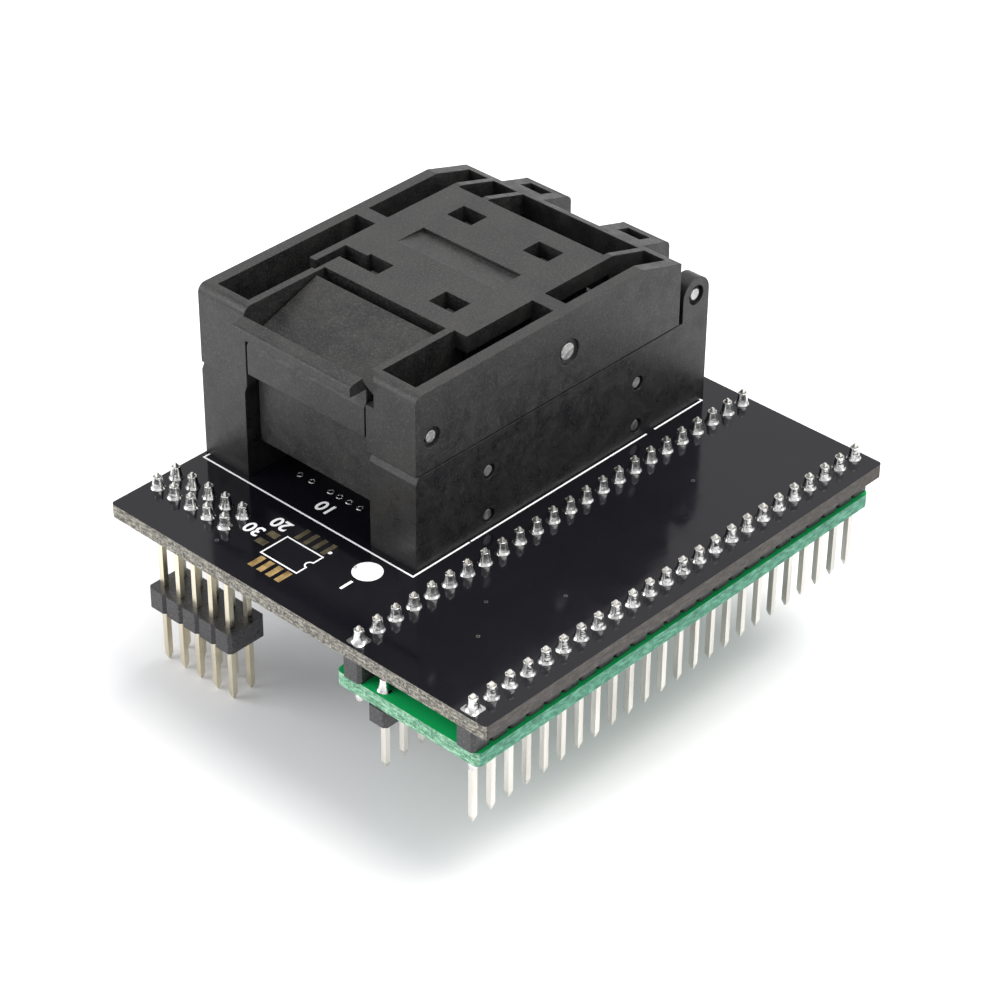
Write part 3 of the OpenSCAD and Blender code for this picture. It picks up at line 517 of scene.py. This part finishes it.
# Small plated holes scattered over the board
VIAS = ((-1.47, -20.74), (-4.76, -16.13), (0.29, -9.99),
        (-3.6, 14.2), (-18.2, -21.0), (-31.6, -27.4))
VIA_HOLE_RADIUS, VIA_RADIUS = 0.12, 0.22
bm = bmesh.new()
for x, y in VIAS:
    ring(bm, x, y, VIA_HOLE_RADIUS, VIA_RADIUS, 16)
new_piece("small_vias", bm, via_metal)

# Raised rims of the contacts' holes under the socket, in view in front of the hook
RIMS_X, RIMS_Y = (-34.0, -32.2, -29.4, -28.1, -26.7, -25.1), -13.4
RIM_RADIUS, RIM_TUBE, RIM_LIFT = 0.34, 0.085, 0.02


def rim(bm, cx, cy, around=28, sides=10):
    loops = []
    for i in range(around):
        a = CIRCLE * i / around
        loop = []
        for k in range(sides):
            q = CIRCLE * k / sides
            reach = RIM_RADIUS + RIM_TUBE * math.cos(q)
            height = BOARD_TOP + (RIM_LIFT + RIM_TUBE * math.sin(q)) * MM
            x, y = cx + reach * math.cos(a), cy + reach * math.sin(a)
            loop.append(bm.verts.new((x * MM, y * MM, height)))
        loops.append(loop)
    for i in range(around):
        join_loops(bm, loops[i - 1], loops[i])


bm = bmesh.new()
for x in RIMS_X:
    rim(bm, x, RIMS_Y)
new_piece("socket_rims", bm, pad_tin)

# Coil springs in place of the stiff ones
WIRE = 0.22 * MM


def coil(bm, cx, cy, radius, z0, z1, turns, steps=24, sides=8):
    """A round wire wound up from z0 to z1, all in metres."""
    count = turns * steps
    rise = (z1 - z0 - WIRE) / count
    lean = math.atan(rise * steps / (CIRCLE * radius))
    loops = []
    for i in range(count + 1):
        x, y = math.cos(CIRCLE * i / steps), math.sin(CIRCLE * i / steps)
        out = Vector((x, y, 0))
        side = Vector((y * math.sin(lean), -x * math.sin(lean), math.cos(lean)))
        middle = Vector((cx, cy, z0 + WIRE / 2 + i * rise)) + out * radius
        section = [CIRCLE * k / sides for k in range(sides)]
        loops.append([bm.verts.new(middle + (out * math.cos(q) + side * math.sin(q)) * WIRE / 2)
                      for q in section])
    for one, two in zip(loops, loops[1:]):
        join_loops(bm, one, two)
    bm.faces.new(loops[0][::-1])
    bm.faces.new(loops[-1])


def springs(node, radius, turns, lower, upper, four):
    """One coil, or four in the corners of the node's box."""
    lo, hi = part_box(node)
    inset = radius + WIRE / 2
    x, y = lo.x + inset, lo.y + inset
    places = [(x, y)]
    if four:
        places = [(cx, cy) for cx in (x, hi.x - inset) for cy in (y, hi.y - inset)]
    bm = bmesh.new()
    for cx, cy in places:
        coil(bm, cx, cy, radius, lo.z, hi.z, turns)
    ends = ((x, y, lo.z + WIRE), (x, y, hi.z - WIRE))
    obj = new_piece(node + "_wire", bm, spring_steel, lower, (upper, *ends))
    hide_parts(node)


springs("latch_spring", 0.9 * MM, 5, "lid", "latch", four=False)
springs("nest_springs", 0.8 * MM, 4, "base", "nest", four=True)


# Floor, lamps and world
FLOOR_WIDE, FLOOR_DROP = 6.0, 0.02 * MM
FLOOR_DIM, FLOOR_PALE = (0.90, 0.90, 0.90), (0.93, 0.93, 0.93)
AIM = Vector((-0.016, 0, 0))

floor_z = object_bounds()[0].z - FLOOR_DROP
bpy.ops.mesh.primitive_plane_add(size=FLOOR_WIDE, location=(0, 0, floor_z))
floor = bpy.context.object
floor.name = "floor"
t = Tree("floor")
t.put("Base Color", t.ramp(t.noise(2, 2), [(0.3, FLOOR_DIM), (0.7, FLOOR_PALE)]))
t.put("Roughness", 0.9)
t.put("Specular IOR Level", 0.1)
floor.data.materials.append(t.mat)


def area(name, place, size, watts, tint=(1.0, 1.0, 1.0)):
    data = bpy.data.lights.new(name, "AREA")
    data.shape = "DISK"
    data.size = size
    data.energy = watts
    data.color = tint
    obj = bpy.data.objects.new(name, data)
    bpy.context.collection.objects.link(obj)
    obj.location = place
    obj.rotation_mode = "QUATERNION"
    obj.rotation_quaternion = (AIM - Vector(place)).to_track_quat("-Z", "Y")


area("key", (0.14, 0.19, 0.75), 0.62, 6.4, (1.0, 0.98, 0.95))
area("left_fill", (-0.65, -0.60, 0.40), 0.8, 4.8)
area("right_fill", (0.75, 0.25, 0.35), 0.4, 0.6)

world = bpy.data.worlds.new("world")
scene.world = world
world.use_nodes = True
wn, wl = world.node_tree.nodes, world.node_tree.links


def either(one, two):
    n = wn.new("ShaderNodeMath")
    n.operation = "MAXIMUM"
    wl.new(one, n.inputs[0])
    wl.new(two, n.inputs[1])
    return n.outputs[0]


# Soft sky for the light, and plain white where the camera, metal or glass sees it
soft = wn["Background"]
soft.inputs["Color"].default_value = (0.945, 0.96, 1.0, 1)
soft.inputs["Strength"].default_value = 0.76
white = wn.new("ShaderNodeBackground")
white.inputs["Color"].default_value = (1, 1, 1, 1)
white.inputs["Strength"].default_value = 1.0
ray = wn.new("ShaderNodeLightPath").outputs
pick = wn.new("ShaderNodeMixShader")
seen = either(either(ray["Is Camera Ray"], ray["Is Glossy Ray"]), ray["Is Transmission Ray"])
for source, socket in zip((seen, soft.outputs[0], white.outputs[0]), pick.inputs):
    wl.new(source, socket)
wl.new(pick.outputs[0], wn["World Output"].inputs["Surface"])
